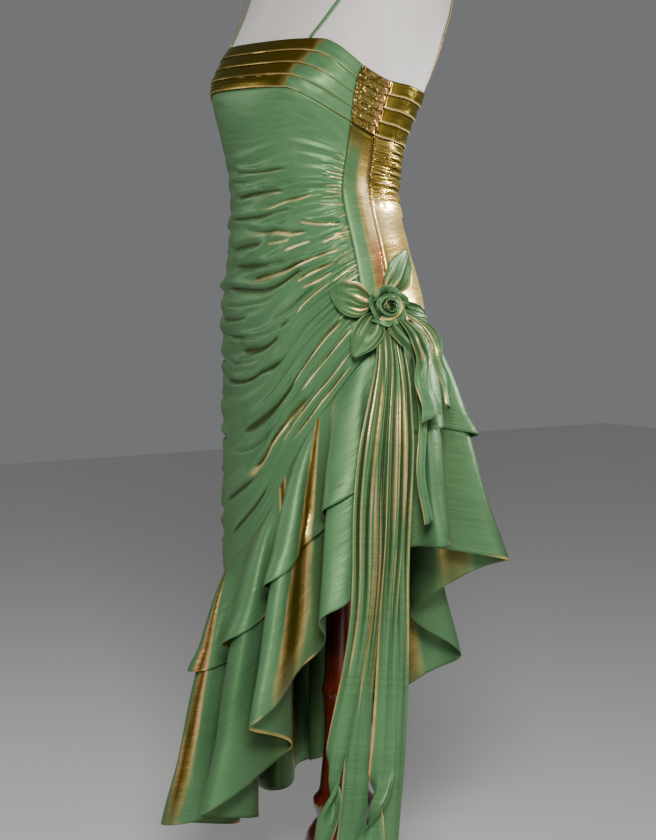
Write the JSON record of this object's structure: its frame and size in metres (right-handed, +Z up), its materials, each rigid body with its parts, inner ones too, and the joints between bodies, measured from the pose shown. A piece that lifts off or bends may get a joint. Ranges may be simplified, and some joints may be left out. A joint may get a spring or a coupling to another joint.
{
  "type": "evening dress on a limbless dress form with a turned stand",
  "caption": "Ruched strapped evening dress with asymmetric cascading flounces and a hip rose, displayed on a limbless dress form and turned wooden stand.",
  "frame": {"origin": "on the floor under the middle of the stand's column", "axes": "+Z up, -Y the way the wearer faces, +X the wearer's left"},
  "size_m": [0.4879, 0.4335, 1.53],
  "materials": {
    "shot_satin": "green satin shot with gold and copper",
    "form_cloth": "off-white jersey",
    "turned_mahogany": "polished dark red-brown"
  },
  "bodies": {
    "root": {"band_front": "shot_satin", "band_side_left": "shot_satin", "band_side_right": "shot_satin", "band_back_left": "shot_satin", "band_back_right": "shot_satin", "front_panel": "shot_satin", "side_panel_left": "shot_satin", "side_panel_right": "shot_satin", "back_panel_left": "shot_satin", "back_panel_right": "shot_satin", "flounce_upper_front": "shot_satin", "flounce_upper_back": "shot_satin", "flounce_lower_front": "shot_satin", "flounce_lower_back": "shot_satin", "strap_left": "shot_satin", "strap_right": "shot_satin", "rose_heart": "shot_satin", "rose_petal_1": "shot_satin", "rose_petal_2": "shot_satin", "rose_petal_3": "shot_satin", "rose_petal_4": "shot_satin", "rose_petal_5": "shot_satin", "gathered_knot": "shot_satin", "leaf_up": "shot_satin", "leaf_front_loop": "shot_satin", "leaf_down": "shot_satin", "leaf_back": "shot_satin", "leaf_low": "shot_satin", "tail_long_front": "shot_satin", "tail_long_second": "shot_satin", "tail_long_third": "shot_satin", "tail_long_back": "shot_satin", "tail_short_narrow": "shot_satin", "tail_short_pointed": "shot_satin", "tail_short_rolled": "shot_satin", "form_torso": "form_cloth", "stand_column": "turned_mahogany", "stand_base": "turned_mahogany"}
  },
  "joints": []
}
